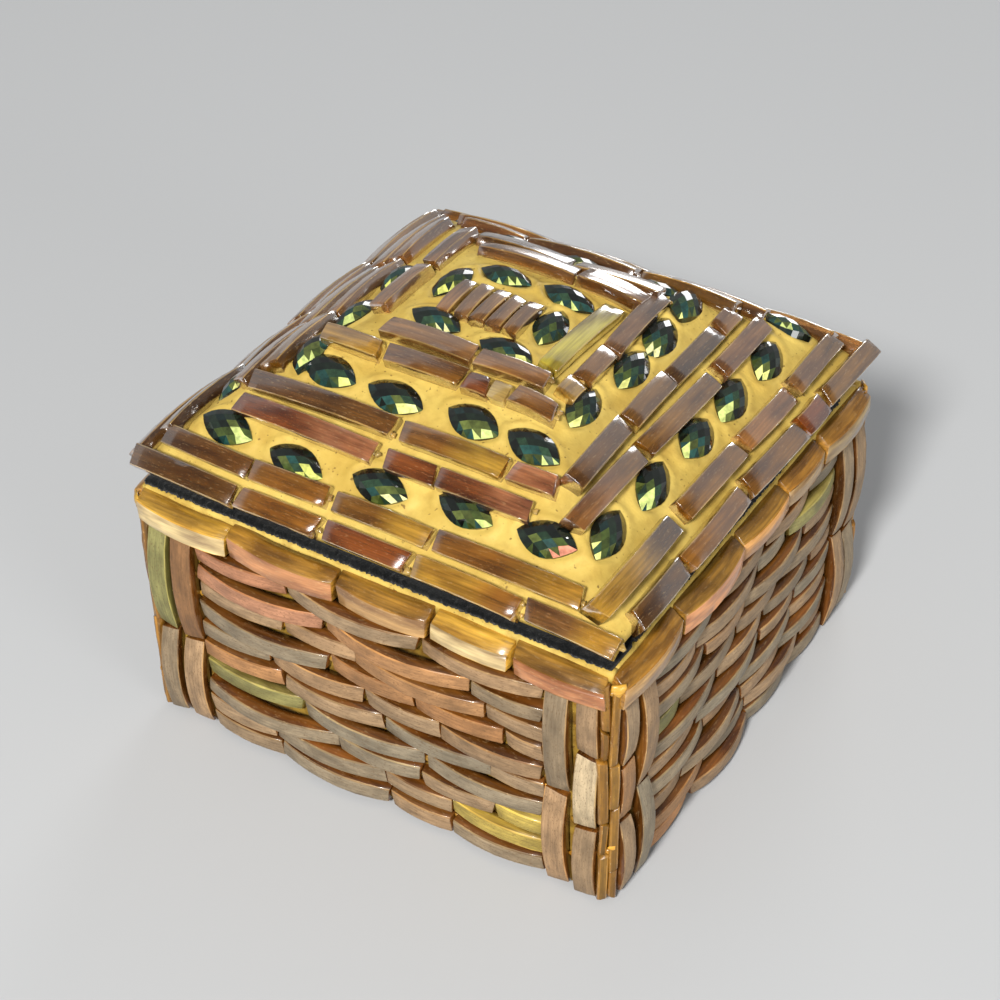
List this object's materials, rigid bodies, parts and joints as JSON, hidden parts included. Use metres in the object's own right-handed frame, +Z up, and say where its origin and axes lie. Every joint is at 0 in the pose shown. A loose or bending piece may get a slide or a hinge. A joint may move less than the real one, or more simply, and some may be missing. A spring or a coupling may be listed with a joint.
{
  "type": "hinged trinket box",
  "caption": "Small square trinket box with a hinged domed lid, its lac-coated wooden body inlaid with glass bangle segments and navette stones and lined with velvet.",
  "frame": {"origin": "middle of the felt pad's underside, on the surface that the box stands on", "axes": "+Z up through the lid, -Y out of the front, +X to the right of someone who faces the front; the hinge pin runs along X at the back"},
  "size_m": [0.0778, 0.078, 0.0607],
  "materials": {
    "wood": "plain sanded wood, unvarnished",
    "lac": "mustard yellow lac, soft gloss, slightly lumpy",
    "side_glass": "tan matt-coated outer faces of glass bangle segments over amber glossy edges",
    "rim_glass": "gold and amber glass bangle segments with tan and pink coated outer faces",
    "lid_glass": "amber-brown translucent glass bangle segments, glossy",
    "stone": "dark green foiled and faceted navette stones, very glossy",
    "velvet": "black velvet pile",
    "felt": "black felt",
    "hinge_steel": "black lacquered steel, worn at the edges"
  },
  "bodies": {
    "base": {"base_bottom_panel": "wood", "base_felt_pad": "felt", "base_wall_front": "wood", "base_wall_right": "wood", "base_wall_back": "wood", "base_wall_left": "wood", "base_lac_front": "lac", "base_lac_right": "lac", "base_lac_back": "lac", "base_lac_left": "lac", "lining_floor": "velvet", "lining_front": "velvet", "lining_right": "velvet", "lining_back": "velvet", "lining_left": "velvet", "rim_row_front": "rim_glass", "rim_row_right": "rim_glass", "rim_row_back": "rim_glass", "rim_row_left": "rim_glass", "glass_field_front": "side_glass", "glass_field_right": "side_glass", "glass_field_back": "side_glass", "glass_field_left": "side_glass", "corner_post_front_right": "side_glass", "corner_post_right_back": "side_glass", "corner_post_back_left": "side_glass", "corner_post_left_front": "side_glass", "hinge_leaf_base": "hinge_steel", "hinge_pin": "hinge_steel", "hinge_screw_base_left": "hinge_steel", "hinge_screw_base_right": "hinge_steel"},
    "lid": {"lid_core": "wood", "lid_lac": "lac", "lid_lining": "velvet", "lid_chips_outer_front": "lid_glass", "lid_chips_outer_right": "lid_glass", "lid_chips_outer_back": "lid_glass", "lid_chips_outer_left": "lid_glass", "lid_stones_outer_front": "stone", "lid_stones_outer_right": "stone", "lid_stones_outer_back": "stone", "lid_stones_outer_left": "stone", "lid_chips_middle_front": "lid_glass", "lid_chips_middle_right": "lid_glass", "lid_chips_middle_back": "lid_glass", "lid_chips_middle_left": "lid_glass", "lid_stones_inner_front": "stone", "lid_stones_inner_right": "stone", "lid_stones_inner_back": "stone", "lid_stones_inner_left": "stone", "lid_chips_inner_front": "lid_glass", "lid_chips_inner_right": "lid_glass", "lid_chips_inner_back": "lid_glass", "lid_chips_inner_left": "lid_glass", "crown_bars": "lid_glass", "crown_stones": "stone", "hinge_leaf_lid": "hinge_steel", "hinge_screw_lid_left": "hinge_steel", "hinge_screw_lid_right": "hinge_steel"}
  },
  "joints": [
    {"name": "lid_hinge", "type": "hinge", "parent": "base", "child": "lid", "pos_m": [0, 0.03755, 0.0412], "axis": [-1, 0, 0], "range_deg": [0, 105]}
  ]
}
